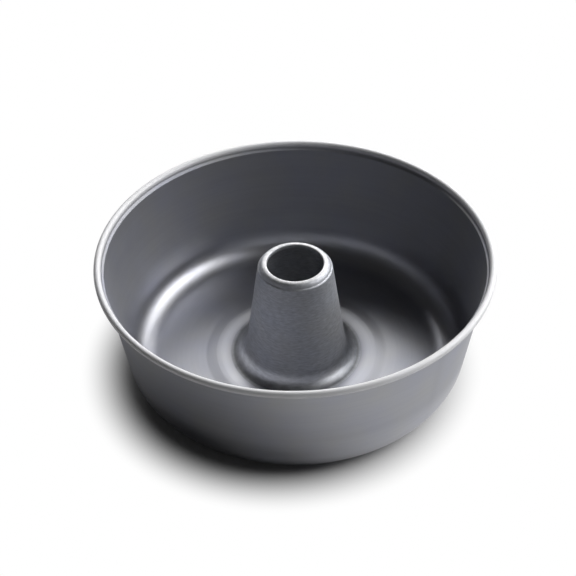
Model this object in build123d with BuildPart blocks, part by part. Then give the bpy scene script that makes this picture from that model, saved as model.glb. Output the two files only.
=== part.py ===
"""Angel food cake pan: a drawn steel shell with a wired rim and a separate centre tube.

Millimetres, +Z up. The origin is the centre of the flat underside that the pan rests on, and every piece
is turned about Z. Each piece of sheet is drawn as its middle line and thickened by half its gauge to each
side, which also rounds its edges. Bend radii are inside radii, as a press shop gives them.
"""

import os
from math import cos, radians, sin, tan

from build123d import *

# Sheet, and the gaps left where layers are pressed together and where the curl grips the wire
sheet = 0.7
seam_fit = 0.05
wire_fit = 0.25

# Shell: sizes over all, and the corner between floor and wall
pan_d = 254.0
pan_height = 86.5
floor_d = 220.2  # across the lines in which floor and wall would meet
corner_r = 18.8

# Rim: a bead curled over the wire, on a short sloping ledge at the top of the wall
bead_d = 4.4
bead_wrap = 295.0  # degrees of the bead's circle that the curl covers
flank_height = 2.25  # from the ledge to the middle of the bead
valley_r = 0.8
ledge_run = 1.75
ledge_slope = 28.0  # degrees
bend_r = 0.3

# Tube: its mouth is turned in to a lip, its rounded crown is necked in from the cone by a small step,
# and its foot spreads in a wide cove, slopes out and is rolled down to a skirt that stands on the floor
tube_height = 77.0
mouth_d = 36.4
lip_r = 0.2
lip_height = 3.2
crown_flat = 0.15
crown_r = 3.4
crown_height = 2.9
crown_lean = 25.0  # degrees from upright, where the crown leaves the neck
neck_width = 0.83
neck_rise = 0.35
neck_r = 0.2
cone_lean = 8.07  # degrees from upright
cove_r = 7.5
foot_straight = 0.4  # straight part between the cove and the roll
foot_slope = 15.0  # degrees below level
foot_roll_r = 1.5
skirt_slope = 50.0  # degrees below level

# Seam: the floor's edge is folded back over itself as a hook, and the tube's foot is pressed down over it
hook_width = 2.5
hook_bend_r = 0.2
hook_gap = 0.1  # between the hook's end and the floor

# Floor round the seam: a level channel, then a low land that slopes down to the flat ring the pan rests on
channel_run = 1.4
channel_lift = 0.1  # above the flat ring
channel_slope_run = 3.8
channel_depth = 0.4  # below the land
channel_r = 6.0
land_run = 6.0
land_r = 12.0
ring_run = 3.5
ring_r = 15.0

# Middle lines of the shell
half = sheet / 2
layer = sheet + seam_fit  # from one layer's middle to the next
floor_z = half
channel_z = floor_z + channel_lift
land_z = channel_z + channel_depth
bead_r = bead_d / 2
bead_x = pan_d / 2 - bead_r
bead_z = pan_height - bead_r
flank_x = bead_x - bead_r + half
ledge_z = bead_z - flank_height


def bends(*inside_radii):
    """The middle line's radius in each bend, from the inside radii."""
    return [radius + half for radius in inside_radii]


def bend_run(inside_radius, turn):
    """The length of middle line from a corner to where its bend begins, for a turn in degrees."""
    return (inside_radius + half) * tan(radians(turn) / 2)


# Middle lines of the tube, from its mouth out and down, and then of the seam and the floor round it
right_angle = 90.0
top_z = tube_height - half
mouth_x = mouth_d / 2 + half
crown_x = mouth_x + bend_run(lip_r, right_angle) + crown_flat + bend_run(crown_r, right_angle - crown_lean)
neck_z = top_z - crown_height
neck_x = crown_x + crown_height * tan(radians(crown_lean))
cone_top_x = neck_x + neck_width
cone_top_z = neck_z - neck_rise
foot_cos, foot_sin = cos(radians(foot_slope)), sin(radians(foot_slope))
hook_z = channel_z + layer + hook_gap
roll_z = hook_z + layer * foot_cos
foot_run = bend_run(cove_r, right_angle - cone_lean - foot_slope) + foot_straight
cone_foot_z = roll_z + foot_run * foot_sin
cone_foot_x = cone_top_x + (cone_top_z - cone_foot_z) * tan(radians(cone_lean))
roll_x = cone_foot_x + foot_run * foot_cos
roll_run = bend_run(foot_roll_r, skirt_slope - foot_slope)
skirt_x = roll_x + roll_run * foot_cos
skirt_z = roll_z - roll_run * foot_sin
edge_z = channel_z + sheet
foot_x = skirt_x + (skirt_z - edge_z) / tan(radians(skirt_slope))
hook_end_x = roll_x - layer * foot_sin
hook_x = hook_end_x - hook_width * foot_cos
hook_top_z = hook_z + hook_width * foot_sin
channel_x = foot_x + channel_run
land_x = channel_x + channel_slope_run
land_end_x = land_x + land_run
ring_x = land_end_x + ring_run


def shell_line():
    """The shell's middle line, from the hook inside the seam out to the end of the rim's curl."""
    FilletPolyline(
        (hook_end_x, hook_z),
        (hook_x, hook_top_z),
        (hook_x, channel_z),
        (channel_x, channel_z),
        (land_x, land_z),
        (land_end_x, land_z),
        (ring_x, floor_z),
        (floor_d / 2, floor_z),
        (flank_x - ledge_run, ledge_z - ledge_run * tan(radians(ledge_slope))),
        (flank_x, ledge_z),
        (flank_x, bead_z),
        radius=bends(
            hook_bend_r, hook_bend_r, channel_r, land_r, land_r, ring_r, corner_r, bend_r, valley_r
        ),
    )
    CenterArc((bead_x, bead_z), bead_r - half, 180, -bead_wrap)


def tube_line():
    """The tube's middle line, from the edge of its foot up the cone and in to its mouth."""
    FilletPolyline(
        (foot_x, edge_z),
        (skirt_x, skirt_z),
        (cone_foot_x, cone_foot_z),
        (cone_top_x, cone_top_z),
        (neck_x, neck_z),
        (crown_x, top_z),
        (mouth_x, top_z),
        (mouth_x, tube_height - lip_height + half),
        radius=bends(foot_roll_r, cove_r, neck_r, neck_r, crown_r, lip_r),
    )


# Shell
with BuildPart() as pan_body:
    with BuildSketch(Plane.XZ):
        with BuildLine():
            shell_line()
            offset(amount=half)
        make_face()
    revolve(axis=Axis.Z)
pan_body.part.label = "pan_body"

# Wire that stiffens the rim, a closed ring inside the bead
with BuildPart() as rim_wire:
    with BuildSketch(Plane.XZ):
        with Locations((bead_x, bead_z)):
            Circle(bead_r - sheet - wire_fit)
    revolve(axis=Axis.Z)
rim_wire.part.label = "rim_wire"

# Tube
with BuildPart() as centre_tube:
    with BuildSketch(Plane.XZ):
        with BuildLine():
            tube_line()
            offset(amount=half)
        make_face()
    revolve(axis=Axis.Z)
centre_tube.part.label = "centre_tube"

os.makedirs("parts", exist_ok=True)
for piece in (pan_body, rim_wire, centre_tube):
    export_step(piece.part, f"parts/{piece.part.label}.step")
    print(piece.part.label, "volume", round(piece.part.volume, 1), "mm3")
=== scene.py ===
"""Angel food cake pan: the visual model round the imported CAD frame.

The shell and the centre tube are sheet, turned about Z. Each is drawn as the middle line of its sheet, with a bend
radius at each corner, and a Geometry Nodes tree rounds the corners and turns the line. Sizes are in millimetres in
the dataclasses and in metres in Blender.
"""

import logging
import math
from dataclasses import dataclass
from enum import Enum

import bpy
from mathutils import Matrix, Vector


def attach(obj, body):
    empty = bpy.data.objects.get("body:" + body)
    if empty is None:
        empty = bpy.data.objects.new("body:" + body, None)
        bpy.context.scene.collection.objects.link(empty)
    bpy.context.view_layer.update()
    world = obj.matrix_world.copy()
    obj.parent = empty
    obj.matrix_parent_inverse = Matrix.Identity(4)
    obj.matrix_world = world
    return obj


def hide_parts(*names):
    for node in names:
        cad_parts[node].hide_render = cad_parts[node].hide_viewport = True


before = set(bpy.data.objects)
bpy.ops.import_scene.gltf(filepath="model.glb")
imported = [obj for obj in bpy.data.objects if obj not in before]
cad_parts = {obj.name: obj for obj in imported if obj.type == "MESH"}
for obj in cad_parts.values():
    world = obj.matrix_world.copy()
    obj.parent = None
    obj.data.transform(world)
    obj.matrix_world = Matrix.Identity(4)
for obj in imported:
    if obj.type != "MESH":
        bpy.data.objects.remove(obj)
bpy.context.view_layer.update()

MM = 0.001
NOISE_SPAN = (0.25, 0.75)  # where nearly all of a noise's values lie
MERGE_MM = 0.002
EASED_SHARE = 0.3  # of the gauge, which a press leaves rounded at a cut edge
EASED_STEPS = 3
EASED_FROM = math.radians(60)
QUARTER_TURN = 0.25
BODY = "root"
LOG = logging.getLogger("cake_pan")

# Radiance of each softbox, by its elevation and its azimuth in degrees
SOFTBOXES = {
    25: {105: 3.6, 135: 2.8, 165: 2.82, 195: 2.59},
    40: {90: 5.09, 120: 3.1, 150: 1.6, 180: 2.59},
    55: {90: 1.51},
}

Corner = tuple[float, float, float]
Value = float | int | bool | str | tuple | bpy.types.NodeSocket | bpy.types.Material


def linear(hex_colour: str) -> tuple[float, float, float, float]:
    """Turns an sRGB hex colour to the linear values that Blender's sockets take.

    Args:
        hex_colour: Six hex digits, without a hash.

    Returns:
        Red, green, blue and an alpha of 1.
    """
    values = [int(hex_colour[i : i + 2], 16) / 255 for i in (0, 2, 4)]
    bent = [v / 12.92 if v <= 0.04045 else ((v + 0.055) / 1.055) ** 2.4 for v in values]
    return (*bent, 1.0)


def add_node(
    tree: bpy.types.NodeTree,
    kind: str,
    settings: dict[str, object] | None = None,
    inputs: dict[str | int, Value] | None = None,
) -> bpy.types.Node:
    """Adds a node to a tree, with its settings and what goes into it.

    Args:
        tree: The tree that gets the node.
        kind: The node's type name.
        settings: The node's own attributes.
        inputs: For each socket's name or number, the value to set or the socket to link from.

    Returns:
        The new node.
    """
    node = tree.nodes.new(kind)
    for name, value in (settings or {}).items():
        setattr(node, name, value)
    for key, value in (inputs or {}).items():
        if isinstance(value, bpy.types.NodeSocket):
            tree.links.new(value, node.inputs[key])
        else:
            node.inputs[key].default_value = value
    return node


class Worked(Enum):
    """Which way the steel was worked before it was coated, which shows as marks through the thin coat."""

    DRAWN = "drawn"
    TURNED = "turned"


@dataclass(frozen=True)
class NonStickCoat:
    """Baked-on non-stick coat with fine metal flake, over steel sheet.

    It looks like satin metal, a little blue. Over a given height it is paler and duller, a painted highlight standing
    in for the light from above on the rim's bead and the tube's lip. The coat is coarser on the upright parts, over z =
    wall_to, where the spray reaches them at a slant, and darker in a ring round the tube's foot, which is painted shade
    for the groove there. Lengths are in mm. The real spray grain and tool marks are finer than the eye takes in at
    arm's length, so they are drawn about twice as coarse.
    """

    name: str
    colour: str
    # The second colour is a painted highlight, near white, laid over the top band of the piece.
    highlight_colour: str
    worked: Worked
    # Heights over which the painted highlight comes in, in mm.
    highlight_from: float
    highlight_to: float
    wall_from: float = 16.0
    wall_to: float = 36.0
    # Metallic under the painted highlight.
    highlight_metallic: float = 0.2
    roughness: float = 0.37
    wall_roughness: float = 0.6
    roughness_spread: float = 0.02
    # Roughness under the painted highlight.
    highlight_roughness: float = 0.6
    colour_spread: float = 0.03
    anisotropy: float = 0.0
    blue_spread: float = 0.6
    mottle: float = 26.0
    grain: float = 0.8
    grain_height: float = 0.006
    mark: float = 2.2
    marks_around: int = 9
    mark_height: float = 0.006
    mark_shade: float = 0.03
    # A ring of painted shade round the tube's foot: its middle, its half width and how much it darkens the coat.
    groove_r: float = 41.8
    groove_width: float = 8.0
    groove_shade: float = 0.65

    def outward(
        self, tree: bpy.types.NodeTree, place: bpy.types.NodeSocket
    ) -> tuple[bpy.types.NodeSocket, bpy.types.NodeSocket]:
        """Measures from the axis.

        Args:
            tree: The material's tree.
            place: The point in the part's frame.

        Returns:
            The level vector from the axis to the point, and its length.
        """
        level = add_node(tree, "ShaderNodeVectorMath", {"operation": "MULTIPLY"}, {0: place, 1: (1, 1, 0)})
        vector = level.outputs["Vector"]
        length = add_node(tree, "ShaderNodeVectorMath", {"operation": "LENGTH"}, {0: vector})
        return vector, length.outputs["Value"]

    def groove_painted_shade(self, tree: bpy.types.NodeTree, place: bpy.types.NodeSocket) -> bpy.types.NodeSocket:
        """Darkens the coat in a ring round the tube's foot: painted shade for the groove there.

        Args:
            tree: The material's tree.
            place: The point in the part's frame.

        Returns:
            The share of its lightness that the coat keeps.
        """
        _, radius = self.outward(tree, place)
        past = add_node(
            tree, "ShaderNodeMath", {"operation": "SUBTRACT"}, {0: radius, 1: self.groove_r * MM}
        ).outputs["Value"]
        away = add_node(tree, "ShaderNodeMath", {"operation": "ABSOLUTE"}, {0: past}).outputs["Value"]
        near = add_node(
            tree,
            "ShaderNodeMapRange",
            None,
            {"Value": away, "From Max": self.groove_width * MM, "To Min": 1.0, "To Max": 0.0},
        ).outputs["Result"]
        shade_weight = add_node(tree, "ShaderNodeMath", {"operation": "POWER"}, {0: near, 1: 2.0}).outputs["Value"]
        return add_node(
            tree, "ShaderNodeMapRange", None, {"Value": shade_weight, "To Min": 1.0, "To Max": 1 - self.groove_shade}
        ).outputs["Result"]

    def along_marks(self, tree: bpy.types.NodeTree, place: bpy.types.NodeSocket) -> bpy.types.NodeSocket:
        """Gives the coordinates in which the tool marks are even, one unit from mark to mark.

        Marks of a turned piece run round it one over the other. Marks of a drawn one run round the floor, one
        outside the other, and round the wall.

        Args:
            tree: The material's tree.
            place: The point in the part's frame.

        Returns:
            The coordinates.
        """
        level, radius = self.outward(tree, place)
        side = add_node(tree, "ShaderNodeVectorMath", {"operation": "NORMALIZE"}, {0: level})
        height = add_node(tree, "ShaderNodeSeparateXYZ", None, {"Vector": place}).outputs["Z"]
        across = height
        if self.worked is Worked.DRAWN:
            across = add_node(tree, "ShaderNodeMath", {"operation": "ADD"}, {0: height, 1: radius}).outputs["Value"]
        steps = add_node(tree, "ShaderNodeMath", {"operation": "DIVIDE"}, {0: across, 1: self.mark * MM})
        swept = add_node(
            tree,
            "ShaderNodeVectorMath",
            {"operation": "SCALE"},
            {0: side.outputs["Vector"], "Scale": self.marks_around / math.tau},
        )
        parts = add_node(tree, "ShaderNodeSeparateXYZ", None, {"Vector": swept.outputs["Vector"]})
        return add_node(
            tree,
            "ShaderNodeCombineXYZ",
            None,
            {"X": parts.outputs["X"], "Y": parts.outputs["Y"], "Z": steps.outputs["Value"]},
        ).outputs["Vector"]

    def relief(
        self, tree: bpy.types.NodeTree, place: bpy.types.NodeSocket, marks: bpy.types.NodeSocket
    ) -> bpy.types.NodeSocket:
        """Makes the spray grain and the tool marks that show through the coat.

        Args:
            tree: The material's tree.
            place: The point in the part's frame.
            marks: The tool marks, from 0 to 1.

        Returns:
            The surface's normal.
        """
        grain = add_node(
            tree, "ShaderNodeTexNoise", None, {"Vector": place, "Scale": 1 / (self.grain * MM), "Detail": 2.0}
        )
        bump = add_node(
            tree, "ShaderNodeBump", None, {"Strength": 1.0, "Distance": self.mark_height * MM, "Height": marks}
        )
        return add_node(
            tree,
            "ShaderNodeBump",
            None,
            {
                "Strength": 1.0,
                "Distance": self.grain_height * MM,
                "Height": grain.outputs["Fac"],
                "Normal": bump.outputs["Normal"],
            },
        ).outputs["Normal"]

    def varied(
        self, tree: bpy.types.NodeTree, source: bpy.types.NodeSocket, middle: float, spread: float
    ) -> bpy.types.NodeSocket:
        """Lets a value wander round its middle.

        Args:
            tree: The material's tree.
            source: A noise from 0 to 1.
            middle: The value's middle.
            spread: How far it goes to each side.

        Returns:
            The value.
        """
        return add_node(
            tree,
            "ShaderNodeMapRange",
            None,
            {
                "Value": source,
                "From Min": NOISE_SPAN[0],
                "From Max": NOISE_SPAN[1],
                "To Min": middle - spread,
                "To Max": middle + spread,
            },
        ).outputs["Result"]

    def build(self) -> bpy.types.Material:
        """Makes the material.

        Returns:
            The finished material.
        """
        material = bpy.data.materials.new(self.name)
        material.use_nodes = True
        tree = material.node_tree
        tree.nodes.clear()
        place = add_node(tree, "ShaderNodeTexCoord").outputs["Object"]
        mottle = add_node(
            tree, "ShaderNodeTexNoise", None, {"Vector": place, "Scale": 1 / (self.mottle * MM), "Detail": 4.0}
        ).outputs["Fac"]
        height = add_node(tree, "ShaderNodeSeparateXYZ", None, {"Vector": place}).outputs["Z"]
        # The top band, the rim's bead and the tube's lip, is painted near white: a painted highlight for the light from
        # above.
        highlight_share = add_node(
            tree,
            "ShaderNodeMapRange",
            {"interpolation_type": "SMOOTHSTEP"},
            {"Value": height, "From Min": self.highlight_from * MM, "From Max": self.highlight_to * MM},
        ).outputs["Result"]
        highlit_colour = add_node(
            tree,
            "ShaderNodeMix",
            {"data_type": "RGBA"},
            {0: highlight_share, 6: linear(self.colour), 7: linear(self.highlight_colour)},
        ).outputs[2]
        metal = add_node(
            tree, "ShaderNodeMapRange", None, {"Value": highlight_share, "To Min": 1.0, "To Max": self.highlight_metallic}
        )
        coarse = add_node(
            tree,
            "ShaderNodeMapRange",
            {"interpolation_type": "SMOOTHSTEP"},
            {
                "Value": height,
                "From Min": self.wall_from * MM,
                "From Max": self.wall_to * MM,
                "To Min": self.varied(tree, mottle, self.roughness, self.roughness_spread),
                "To Max": self.wall_roughness,
            },
        )
        dull = add_node(
            tree,
            "ShaderNodeMapRange",
            None,
            {
                "Value": highlight_share,
                "To Min": coarse.outputs["Result"],
                "To Max": self.highlight_roughness,
            },
        )
        marks = add_node(
            tree,
            "ShaderNodeTexNoise",
            None,
            {"Vector": self.along_marks(tree, place), "Scale": 1.0, "Detail": 3.0, "Roughness": 0.6},
        ).outputs["Fac"]
        marked = add_node(
            tree,
            "ShaderNodeMath",
            {"operation": "MULTIPLY"},
            {
                0: self.varied(tree, mottle, 1.0, self.colour_spread),
                1: self.varied(tree, marks, 1.0, self.mark_shade),
            },
        ).outputs["Value"]
        # Painted shade in a ring round the tube's foot darkens the coat here.
        toned = add_node(
            tree, "ShaderNodeMath", {"operation": "MULTIPLY"}, {0: marked, 1: self.groove_painted_shade(tree, place)}
        ).outputs["Value"]
        shade = add_node(
            tree,
            "ShaderNodeHueSaturation",
            None,
            {"Color": highlit_colour, "Saturation": self.varied(tree, mottle, 1.0, self.blue_spread), "Value": toned},
        ).outputs["Color"]
        across = add_node(tree, "ShaderNodeVectorMath", {"operation": "CROSS_PRODUCT"}, {0: (0, 0, 1), 1: place})
        around = add_node(tree, "ShaderNodeVectorMath", {"operation": "NORMALIZE"}, {0: across.outputs["Vector"]})
        shader = add_node(
            tree,
            "ShaderNodeBsdfPrincipled",
            None,
            {
                "Tangent": around.outputs["Vector"],
                "Anisotropic": self.anisotropy,
                "Anisotropic Rotation": QUARTER_TURN,
                "Base Color": shade,
                "Metallic": metal.outputs["Result"],
                "Roughness": dull.outputs["Result"],
                "Normal": self.relief(tree, place, marks),
            },
        )
        add_node(tree, "ShaderNodeOutputMaterial", None, {"Surface": shader.outputs["BSDF"]})
        return material


@dataclass(frozen=True)
class SteelWire:
    """Plain drawn steel wire, as it comes off the coil. It is hidden in the rim."""

    name: str = "drawn_steel_wire"
    colour: str = "8C8C8E"
    roughness: float = 0.35

    def build(self) -> bpy.types.Material:
        """Makes the material.

        Returns:
            The finished material.
        """
        material = bpy.data.materials.new(self.name)
        material.use_nodes = True
        shader = material.node_tree.nodes["Principled BSDF"]
        shader.inputs["Base Color"].default_value = linear(self.colour)
        shader.inputs["Metallic"].default_value = 1.0
        shader.inputs["Roughness"].default_value = self.roughness
        return material


@dataclass
class TurnedSheet:
    """A piece of sheet turned about Z from its middle line.

    The tree rounds each corner of the line to its bend radius, divides the long runs, turns the line about Z and
    hands over a mesh of even quads. Solidify then gives it the gauge, half to each side, and Bevel eases the edges.
    """

    name: str
    gauge_mm: float
    around: int = 180
    arc_steps: int = 12
    longest_run_mm: float = 1.6

    def section(self, corners: list[Corner]) -> bpy.types.Object:
        """Makes the line of corners that the tree works on.

        Args:
            corners: Distance from the axis, height and bend radius of each corner, in mm.

        Returns:
            An object with one open line and the corners' radii as an attribute.
        """
        mesh = bpy.data.meshes.new(self.name)
        points = [(x * MM, 0.0, z * MM) for x, z, _ in corners]
        mesh.from_pydata(points, [(i, i + 1) for i in range(len(points) - 1)], [])
        radii = mesh.attributes.new("bend_radius", "FLOAT", "POINT")
        radii.data.foreach_set("value", [radius * MM for _, _, radius in corners])
        made = bpy.data.objects.new(self.name, mesh)
        bpy.context.scene.collection.objects.link(made)
        return made

    def tree(self) -> bpy.types.NodeTree:
        """Builds the Geometry Nodes tree, or returns it if another piece has built it.

        Returns:
            The tree.
        """
        name = "turned_sheet"
        if name in bpy.data.node_groups:
            return bpy.data.node_groups[name]
        tree = bpy.data.node_groups.new(name, "GeometryNodeTree")
        face = tree.interface
        face.new_socket("Geometry", in_out="INPUT", socket_type="NodeSocketGeometry")
        face.new_socket("Segments around", in_out="INPUT", socket_type="NodeSocketInt")
        face.new_socket("Steps in a bend", in_out="INPUT", socket_type="NodeSocketInt")
        face.new_socket("Longest run", in_out="INPUT", socket_type="NodeSocketFloat")
        face.new_socket("Material", in_out="INPUT", socket_type="NodeSocketMaterial")
        face.new_socket("Geometry", in_out="OUTPUT", socket_type="NodeSocketGeometry")
        given = add_node(tree, "NodeGroupInput").outputs
        around = given["Segments around"]

        line = add_node(tree, "GeometryNodeMeshToCurve", None, {"Mesh": given["Geometry"]})
        radius = add_node(tree, "GeometryNodeInputNamedAttribute", {"data_type": "FLOAT"}, {"Name": "bend_radius"})
        rounded = add_node(
            tree,
            "GeometryNodeFilletCurve",
            {"mode": "POLY"},
            {
                "Curve": line.outputs["Curve"],
                "Radius": radius.outputs["Attribute"],
                "Count": given["Steps in a bend"],
            },
        )
        index = add_node(tree, "GeometryNodeInputIndex").outputs["Index"]
        here = add_node(tree, "GeometryNodeInputPosition").outputs["Position"]
        following = add_node(tree, "ShaderNodeMath", {"operation": "ADD"}, {0: index, 1: 1.0}).outputs["Value"]
        there = add_node(
            tree,
            "GeometryNodeFieldAtIndex",
            {"data_type": "FLOAT_VECTOR", "domain": "POINT"},
            {"Value": here, "Index": following},
        ).outputs["Value"]
        run = add_node(tree, "ShaderNodeVectorMath", {"operation": "DISTANCE"}, {0: here, 1: there}).outputs["Value"]
        share = add_node(tree, "ShaderNodeMath", {"operation": "DIVIDE"}, {0: run, 1: given["Longest run"]})
        divided = add_node(
            tree,
            "GeometryNodeSubdivideCurve",
            None,
            {"Curve": rounded.outputs["Curve"], "Cuts": share.outputs["Value"]},
        ).outputs["Curve"]

        size = add_node(tree, "GeometryNodeAttributeDomainSize", {"component": "CURVE"}, {"Geometry": divided})
        rings = add_node(tree, "ShaderNodeMath", {"operation": "SUBTRACT"}, {0: size.outputs["Point Count"], 1: 1.0})
        blank = add_node(
            tree,
            "GeometryNodeMeshCylinder",
            {"fill_type": "NONE"},
            {"Vertices": around, "Side Segments": rings.outputs["Value"]},
        )
        ring = add_node(tree, "ShaderNodeMath", {"operation": "DIVIDE"}, {0: index, 1: around}).outputs["Value"]
        ring = add_node(tree, "ShaderNodeMath", {"operation": "FLOOR"}, {0: ring}).outputs["Value"]
        step = add_node(tree, "ShaderNodeMath", {"operation": "MODULO"}, {0: index, 1: around}).outputs["Value"]
        turn = add_node(tree, "ShaderNodeMath", {"operation": "DIVIDE"}, {0: step, 1: around}).outputs["Value"]
        angle = add_node(tree, "ShaderNodeMath", {"operation": "MULTIPLY"}, {0: turn, 1: math.tau}).outputs["Value"]
        on_line = add_node(
            tree,
            "GeometryNodeSampleIndex",
            {"data_type": "FLOAT_VECTOR", "domain": "POINT"},
            {"Geometry": divided, "Value": here, "Index": ring},
        ).outputs["Value"]
        turned = add_node(
            tree, "ShaderNodeVectorRotate", {"rotation_type": "Z_AXIS"}, {"Vector": on_line, "Angle": angle}
        ).outputs["Vector"]
        placed = add_node(
            tree, "GeometryNodeSetPosition", None, {"Geometry": blank.outputs["Mesh"], "Position": turned}
        ).outputs["Geometry"]
        merged = add_node(
            tree, "GeometryNodeMergeByDistance", None, {"Geometry": placed, "Distance": MERGE_MM * MM}
        ).outputs["Geometry"]
        smooth = add_node(tree, "GeometryNodeSetShadeSmooth", None, {"Geometry": merged}).outputs["Geometry"]
        real = add_node(tree, "GeometryNodeRealizeInstances", None, {"Geometry": smooth}).outputs["Geometry"]
        dressed = add_node(
            tree, "GeometryNodeSetMaterial", None, {"Geometry": real, "Material": given["Material"]}
        ).outputs["Geometry"]
        add_node(tree, "NodeGroupOutput", None, {"Geometry": dressed})
        return tree

    def build(self, corners: list[Corner], material: bpy.types.Material) -> bpy.types.Object:
        """Turns the line and gives the sheet its gauge.

        Args:
            corners: Distance from the axis, height and bend radius of each corner of the middle line, in mm.
            material: The sheet's finish.

        Returns:
            The finished piece, with its place in its mesh.
        """
        piece = self.section(corners)
        nodes = piece.modifiers.new("turned", "NODES")
        nodes.node_group = self.tree()
        values = {
            "Segments around": self.around,
            "Steps in a bend": self.arc_steps,
            "Longest run": self.longest_run_mm * MM,
            "Material": material,
        }
        for item in nodes.node_group.interface.items_tree:
            if item.in_out == "INPUT" and item.name in values:
                nodes[item.identifier] = values[item.name]
        graph = bpy.context.evaluated_depsgraph_get()
        mesh = bpy.data.meshes.new_from_object(piece.evaluated_get(graph))
        piece.modifiers.remove(nodes)
        piece.data = mesh
        mesh.name = self.name
        wall = piece.modifiers.new("gauge", "SOLIDIFY")
        wall.thickness = self.gauge_mm * MM
        wall.offset = 0.0
        wall.use_even_offset = True
        edge = piece.modifiers.new("eased_edges", "BEVEL")
        edge.width = self.gauge_mm * MM * EASED_SHARE
        edge.segments = EASED_STEPS
        edge.limit_method = "ANGLE"
        edge.angle_limit = EASED_FROM
        return piece


@dataclass(frozen=True)
class Seam:
    """The lock between tube and floor: the floor's edge folded back as a hook, and the tube's foot pressed over it.

    Sizes are those of the CAD, in mm and degrees, and bend radii are inside radii. Only the hook is shorter, so that
    it lies under the tube's softer foot.
    """

    gauge: float = 0.7
    fit: float = 0.05
    channel_lift: float = 0.1
    hook_width: float = 1.7
    hook_bend_r: float = 0.2
    hook_gap: float = 0.1
    slope: float = 15.0

    @property
    def half(self) -> float:
        """Half of the sheet's gauge."""
        return self.gauge / 2

    @property
    def layer(self) -> float:
        """Distance from one layer's middle line to the next one's."""
        return self.gauge + self.fit

    @property
    def channel_z(self) -> float:
        """Height of the floor's middle line under the seam."""
        return self.half + self.channel_lift

    @property
    def hook_z(self) -> float:
        """Height of the middle line at the hook's end."""
        return self.channel_z + self.layer + self.hook_gap

    def run(self, radius: float, turn: float) -> float:
        """Works out how far from its corner a bend begins, along the middle line.

        Args:
            radius: Inside radius of the bend.
            turn: Turn of the line in degrees.

        Returns:
            The length.
        """
        return (radius + self.half) * math.tan(math.radians(turn) / 2)

    def hook(self, end_x: float) -> list[Corner]:
        """Lists the corners of the floor's folded edge.

        Args:
            end_x: Distance of the hook's end from the axis.

        Returns:
            Distance from the axis, height and bend radius of each corner, in mm.
        """
        slope = math.radians(self.slope)
        fold_x = end_x - self.hook_width * math.cos(slope)
        bend = self.hook_bend_r + self.half
        return [
            (end_x, self.hook_z, 0.0),
            (fold_x, self.hook_z + self.hook_width * math.sin(slope), bend),
            (fold_x, self.channel_z, bend),
        ]


@dataclass
class CentreTube:
    """The tube: cone, necked crown, turned-in lip and a foot that spreads in a cove.

    Sizes are those of the CAD node, in mm and degrees, but for two that the photograph shows softer: the cone's top
    edge, and the foot, which is one wide cove whose cut edge sinks into the floor, as in a seam that is pressed tight.
    The floor's hook ends under it, at hook_end from the axis.
    """

    seam: Seam
    tube_height: float = 77.0
    mouth_d: float = 36.4
    lip_r: float = 0.2
    lip_height: float = 3.2
    crown_flat: float = 0.15
    crown_r: float = 3.4
    crown_height: float = 2.9
    crown_lean: float = 25.0
    neck_width: float = 0.83
    neck_rise: float = 0.35
    neck_r: float = 0.2
    shoulder_r: float = 0.75
    cone_lean: float = 8.07
    cove_r: float = 10.6
    foot_x: float = 43.9
    foot_slope: float = 3.0
    edge_rise: float = 0.05
    hook_end: float = 38.2

    @property
    def top_z(self) -> float:
        """Height of the crown's middle line."""
        return self.tube_height - self.seam.half

    @property
    def mouth_x(self) -> float:
        """Distance of the lip's middle line from the axis."""
        return self.mouth_d / 2 + self.seam.half

    @property
    def crown_x(self) -> float:
        """Distance from the axis of the corner that the crown rounds."""
        rounded = self.seam.run(self.crown_r, 90 - self.crown_lean)
        return self.mouth_x + self.seam.run(self.lip_r, 90) + self.crown_flat + rounded

    @property
    def neck(self) -> tuple[float, float]:
        """Distance and height of the crease in which crown and step meet."""
        x = self.crown_x + self.crown_height * math.tan(math.radians(self.crown_lean))
        return x, self.top_z - self.crown_height

    @property
    def edge_z(self) -> float:
        """Height of the middle line at the foot's edge, inside the floor's sheet."""
        return self.seam.channel_z + self.edge_rise

    @property
    def cone_foot(self) -> tuple[float, float]:
        """Distance and height of the corner that the cove rounds, where the cone's line meets the foot's."""
        x, z = self.neck
        x, z = x + self.neck_width, z - self.neck_rise
        lean, slope = (math.tan(math.radians(angle)) for angle in (self.cone_lean, self.foot_slope))
        foot_z = (self.edge_z + (self.foot_x - x - z * lean) * slope) / (1 - lean * slope)
        return x + (z - foot_z) * lean, foot_z

    def corners(self) -> list[Corner]:
        """Lists the middle line's corners, from the edge of the foot up the cone and in to the mouth.

        Returns:
            Distance from the axis, height and bend radius of each corner, in mm.
        """
        seam = self.seam
        neck_x, neck_z = self.neck
        return [
            (self.foot_x, self.edge_z, 0.0),
            (*self.cone_foot, self.cove_r + seam.half),
            (neck_x + self.neck_width, neck_z - self.neck_rise, self.shoulder_r + seam.half),
            (neck_x, neck_z, self.neck_r + seam.half),
            (self.crown_x, self.top_z, self.crown_r + seam.half),
            (self.mouth_x, self.top_z, self.lip_r + seam.half),
            (self.mouth_x, self.tube_height - self.lip_height + seam.half, 0.0),
        ]

    def build(self, material: bpy.types.Material) -> bpy.types.Object:
        """Makes the tube and sets it on its body.

        Args:
            material: The tube's finish.

        Returns:
            The tube.
        """
        piece = TurnedSheet("tube_cone", self.seam.gauge).build(self.corners(), material)
        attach(piece, BODY)
        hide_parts("centre_tube")
        return piece


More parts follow.
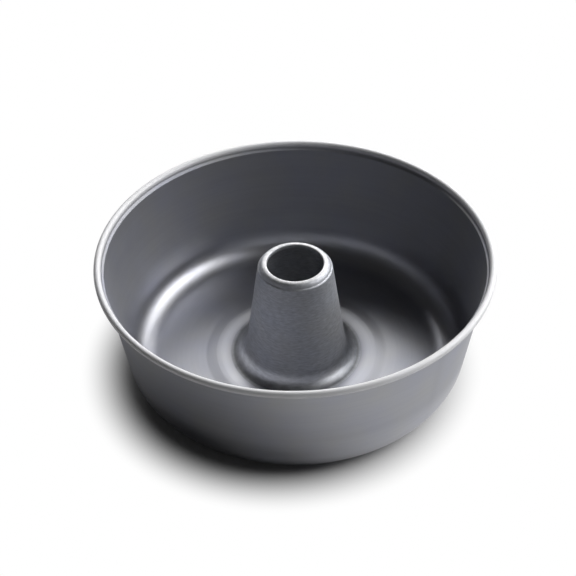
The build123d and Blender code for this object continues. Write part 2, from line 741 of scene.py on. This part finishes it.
@dataclass
class PanBody:
    """The drawn shell: hook, floor, wall, ledge and wired rim.

    Sizes are those of the CAD node, in mm. Only the land round the seam has longer slopes and the valley under the
    bead a wider bend, as the photograph shows no crisp line there.
    """

    tube: CentreTube
    pan_d: float = 254.0
    pan_height: float = 86.5
    floor_d: float = 220.2
    corner_r: float = 18.8
    bead_d: float = 4.4
    bead_wrap: float = 295.0
    flank_height: float = 2.25
    valley_r: float = 1.8
    ledge_run: float = 1.75
    ledge_slope: float = 28.0
    bend_r: float = 0.3
    channel_run: float = 0.5
    channel_slope_run: float = 6.5
    channel_depth: float = 0.4
    channel_r: float = 20.0
    land_run: float = 3.0
    land_r: float = 12.0
    ring_run: float = 7.0
    ring_r: float = 30.0

    def floor_corners(self) -> list[Corner]:
        """Lists the corners of the hook under the tube's foot and of the floor, out to the flat ring.

        Returns:
            Distance from the axis, height and bend radius of each corner, in mm.
        """
        seam = self.tube.seam
        channel_x = self.tube.foot_x + self.channel_run
        land_x = channel_x + self.channel_slope_run
        land_z = seam.channel_z + self.channel_depth
        land_end_x = land_x + self.land_run
        return [
            *seam.hook(self.tube.hook_end),
            (channel_x, seam.channel_z, self.channel_r + seam.half),
            (land_x, land_z, self.land_r + seam.half),
            (land_end_x, land_z, self.land_r + seam.half),
            (land_end_x + self.ring_run, seam.half, self.ring_r + seam.half),
        ]

    def wall_corners(self) -> list[Corner]:
        """Lists the corners of the wall, the ledge and the curled rim.

        Returns:
            Distance from the axis, height and bend radius of each corner, in mm.
        """
        half = self.tube.seam.half
        bead_r = self.bead_d / 2
        bead_x, bead_z = self.pan_d / 2 - bead_r, self.pan_height - bead_r
        flank_x = bead_x - bead_r + half
        ledge_z = bead_z - self.flank_height
        wall_top_z = ledge_z - self.ledge_run * math.tan(math.radians(self.ledge_slope))
        return [
            (self.floor_d / 2, half, self.corner_r + half),
            (flank_x - self.ledge_run, wall_top_z, self.bend_r + half),
            (flank_x, ledge_z, self.valley_r + half),
            *self.curl(bead_x, bead_z, bead_r - half),
        ]

    def curl(self, x: float, z: float, radius: float) -> list[Corner]:
        """Lists the corners of the lines that touch the bead's circle, which bends of its own radius turn round.

        Args:
            x: Distance of the bead's middle from the axis.
            z: Height of the bead's middle.
            radius: Radius of the curl's middle line.

        Returns:
            The corners, clockwise from the top left, and the curl's end.
        """
        end = math.radians(180 - self.bead_wrap)
        last = radius * math.tan((-math.pi / 2 - end) / 2)
        return [
            (x - radius, z + radius, radius),
            (x + radius, z + radius, radius),
            (x + radius, z - radius, radius),
            (x - last, z - radius, radius),
            (x + radius * math.cos(end), z + radius * math.sin(end), 0.0),
        ]

    def build(self, material: bpy.types.Material) -> bpy.types.Object:
        """Makes the shell and sets it on its body.

        Args:
            material: The shell's finish.

        Returns:
            The shell.
        """
        line = self.floor_corners() + self.wall_corners()
        piece = TurnedSheet("pan_shell", self.tube.seam.gauge).build(line, material)
        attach(piece, BODY)
        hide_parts("pan_body")
        return piece


class RimWire:
    """The wire inside the rim. The CAD node has the right shape, so it stays and gets its finish."""

    def build(self, material: bpy.types.Material) -> bpy.types.Object:
        """Gives the wire its finish.

        Args:
            material: The wire's finish.

        Returns:
            The CAD node.
        """
        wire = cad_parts["rim_wire"]
        wire.data.materials.clear()
        wire.data.materials.append(material)
        return wire


@dataclass(frozen=True)
class Softbox:
    """A wide, low lamp aimed at the pan. Azimuth 0 is the camera's side and 90 its right. Lengths are in metres."""

    azimuth: float
    elevation: float
    radiance: float
    width: float = 0.85
    height: float = 0.45
    distance: float = 1.5
    aim: tuple[float, float, float] = (0.0, 0.0, 0.04)

    def build(self) -> bpy.types.Object:
        """Makes the lamp.

        Returns:
            The lamp.
        """
        name = f"softbox_{self.azimuth:.0f}_{self.elevation:.0f}"
        data = bpy.data.lights.new(name, "AREA")
        data.shape = "RECTANGLE"
        data.size = self.width
        data.size_y = self.height
        data.energy = self.radiance * math.pi * self.width * self.height
        lamp = bpy.data.objects.new(name, data)
        bpy.context.scene.collection.objects.link(lamp)
        a, e = math.radians(self.azimuth), math.radians(self.elevation)
        away = Vector((math.sin(a) * math.cos(e), -math.cos(a) * math.cos(e), math.sin(e)))
        lamp.location = Vector(self.aim) + away * self.distance
        lamp.rotation_mode = "QUATERNION"
        lamp.rotation_quaternion = (-away).to_track_quat("-Z", "Y")
        lamp.visible_camera = False
        return lamp


@dataclass
class Studio:
    """White paper under the pan, the dark room's faint light, and a wall of softboxes from the right round the back.

    The paper keeps the pan's shadow near it. Farther out it is pure white to the camera, as in a photograph that was
    cut out, and in reflections too. It lies a hair under the pan, so that the two share no plane. Lengths are in
    metres, and those of the white parts are from their own middle.
    """

    paper_half: float = 3.0
    paper_drop: float = 0.0001
    paper_colour: str = "C4C4C4"
    seen_centre: tuple[float, float, float] = (-0.010, -0.005, 0.0)
    seen_white: tuple[float, float] = (0.100, 0.136)
    mirrored_centre: tuple[float, float, float] = (-0.09, -0.05, 0.0)
    mirrored_white: tuple[float, float] = (0.105, 0.21)
    room: float = 0.03

    def whitened(
        self,
        tree: bpy.types.NodeTree,
        place: bpy.types.NodeSocket,
        centre: tuple[float, float, float],
        span: tuple[float, float],
        rays: bpy.types.NodeSocket,
    ) -> bpy.types.NodeSocket:
        """Says how white the paper is to some rays.

        Args:
            tree: The material's tree.
            place: The point on the paper.
            centre: The middle of the shaded part.
            span: The distances from there between which the paper turns from its own shade to white.
            rays: 1 for the rays that are meant.

        Returns:
            The share of white.
        """
        away = add_node(tree, "ShaderNodeVectorMath", {"operation": "DISTANCE"}, {0: place, 1: centre})
        ramp = add_node(
            tree,
            "ShaderNodeMapRange",
            {"interpolation_type": "SMOOTHSTEP"},
            {"Value": away.outputs["Value"], "From Min": span[0], "From Max": span[1]},
        ).outputs["Result"]
        return add_node(tree, "ShaderNodeMath", {"operation": "MULTIPLY"}, {0: ramp, 1: rays}).outputs["Value"]

    def paper_finish(self) -> bpy.types.Material:
        """Makes the paper's material.

        Returns:
            The finished material.
        """
        material = bpy.data.materials.new("white_paper")
        material.use_nodes = True
        tree = material.node_tree
        tree.nodes.clear()
        place = add_node(tree, "ShaderNodeTexCoord").outputs["Object"]
        ray = add_node(tree, "ShaderNodeLightPath").outputs
        bounced = add_node(
            tree, "ShaderNodeMath", {"operation": "MAXIMUM"}, {0: ray["Is Glossy Ray"], 1: ray["Is Transmission Ray"]}
        ).outputs["Value"]
        white = add_node(
            tree,
            "ShaderNodeMath",
            {"operation": "MAXIMUM"},
            {
                0: self.whitened(tree, place, self.seen_centre, self.seen_white, ray["Is Camera Ray"]),
                1: self.whitened(tree, place, self.mirrored_centre, self.mirrored_white, bounced),
            },
        ).outputs["Value"]
        paper = add_node(
            tree,
            "ShaderNodeBsdfPrincipled",
            None,
            {"Base Color": linear(self.paper_colour), "Roughness": 1.0, "Specular IOR Level": 0.0},
        ).outputs["BSDF"]
        glow = add_node(tree, "ShaderNodeEmission", None, {"Color": (1, 1, 1, 1), "Strength": 1.0}).outputs["Emission"]
        mixed = add_node(tree, "ShaderNodeMixShader", None, {0: white, 1: paper, 2: glow}).outputs["Shader"]
        add_node(tree, "ShaderNodeOutputMaterial", None, {"Surface": mixed})
        return material

    def floor(self) -> bpy.types.Object:
        """Makes the floor.

        Returns:
            The floor, which isn't part of the object.
        """
        mesh = bpy.data.meshes.new("floor")
        r = self.paper_half
        z = -self.paper_drop
        mesh.from_pydata([(-r, -r, z), (r, -r, z), (r, r, z), (-r, r, z)], [], [(0, 1, 2, 3)])
        mesh.materials.append(self.paper_finish())
        made = bpy.data.objects.new("floor", mesh)
        bpy.context.scene.collection.objects.link(made)
        return made

    def build(self, boxes: list[Softbox]) -> None:
        """Makes the floor, the room's light and the lamps.

        Args:
            boxes: The lamps.
        """
        self.floor()
        world = bpy.data.worlds.new("room")
        world.use_nodes = True
        world.node_tree.nodes["Background"].inputs["Color"].default_value = (1, 1, 1, 1)
        world.node_tree.nodes["Background"].inputs["Strength"].default_value = self.room
        bpy.context.scene.world = world
        for box in boxes:
            box.build()


@dataclass(frozen=True)
class PhotoCamera:
    """The photograph's camera: 41 degrees above the table, with a slight roll. Lengths are in mm, clip in metres."""

    pitch: float = 40.529
    roll: float = -1.127
    place: tuple[float, float, float] = (-4.80, -592.29, 562.08)
    lens: float = 75.0
    sensor: float = 36.0
    clip: tuple[float, float] = (0.01, 20.0)

    def build(self) -> bpy.types.Object:
        """Makes the camera and gives it to the scene.

        Returns:
            The camera.
        """
        data = bpy.data.cameras.new("camera")
        data.lens = self.lens
        data.sensor_width = self.sensor
        data.clip_start, data.clip_end = self.clip
        camera = bpy.data.objects.new("camera", data)
        bpy.context.scene.collection.objects.link(camera)
        tilt = Matrix.Rotation(math.radians(90 - self.pitch), 4, "X")
        lean = Matrix.Rotation(math.radians(self.roll), 4, "Z")
        camera.matrix_world = Matrix.Translation(Vector(self.place) * MM) @ tilt @ lean
        bpy.context.scene.camera = camera
        return camera


def main() -> None:
    """Builds the pan, the studio and the camera, and reports each piece."""
    logging.basicConfig(level=logging.INFO, format="%(name)s: %(message)s")
    view = bpy.context.scene.view_settings
    view.view_transform = "Standard"
    PhotoCamera().build()
    # Each coat's near-white second colour is a painted highlight over its top band.
    shell_coat = NonStickCoat(
        "non_stick_coat_on_drawn_steel", "A9AAB0", "F6F6F8", Worked.DRAWN, highlight_from=82.2, highlight_to=84.5
    )
    tube_coat = NonStickCoat(
        "non_stick_coat_on_turned_steel",
        "C2C4C9",
        "F6F6F8",
        Worked.TURNED,
        highlight_from=76.4,
        highlight_to=77.0,
        wall_from=4.0,
        wall_to=14.0,
        highlight_roughness=0.45,
        roughness=0.42,
        anisotropy=0.3,
        grain_height=0.02,
        mark=1.0,
        marks_around=45,
        mark_height=0.07,
        mark_shade=0.2,
    )
    tube = CentreTube(Seam())
    for piece in (
        PanBody(tube).build(shell_coat.build()),
        tube.build(tube_coat.build()),
        RimWire().build(SteelWire().build()),
    ):
        LOG.info("%s: %d faces", piece.name, len(piece.data.polygons))
    Studio().build(
        [
            Softbox(azimuth, elevation, radiance)
            for elevation, ring in SOFTBOXES.items()
            for azimuth, radiance in ring.items()
        ]
    )


if __name__ == "__main__":
    main()
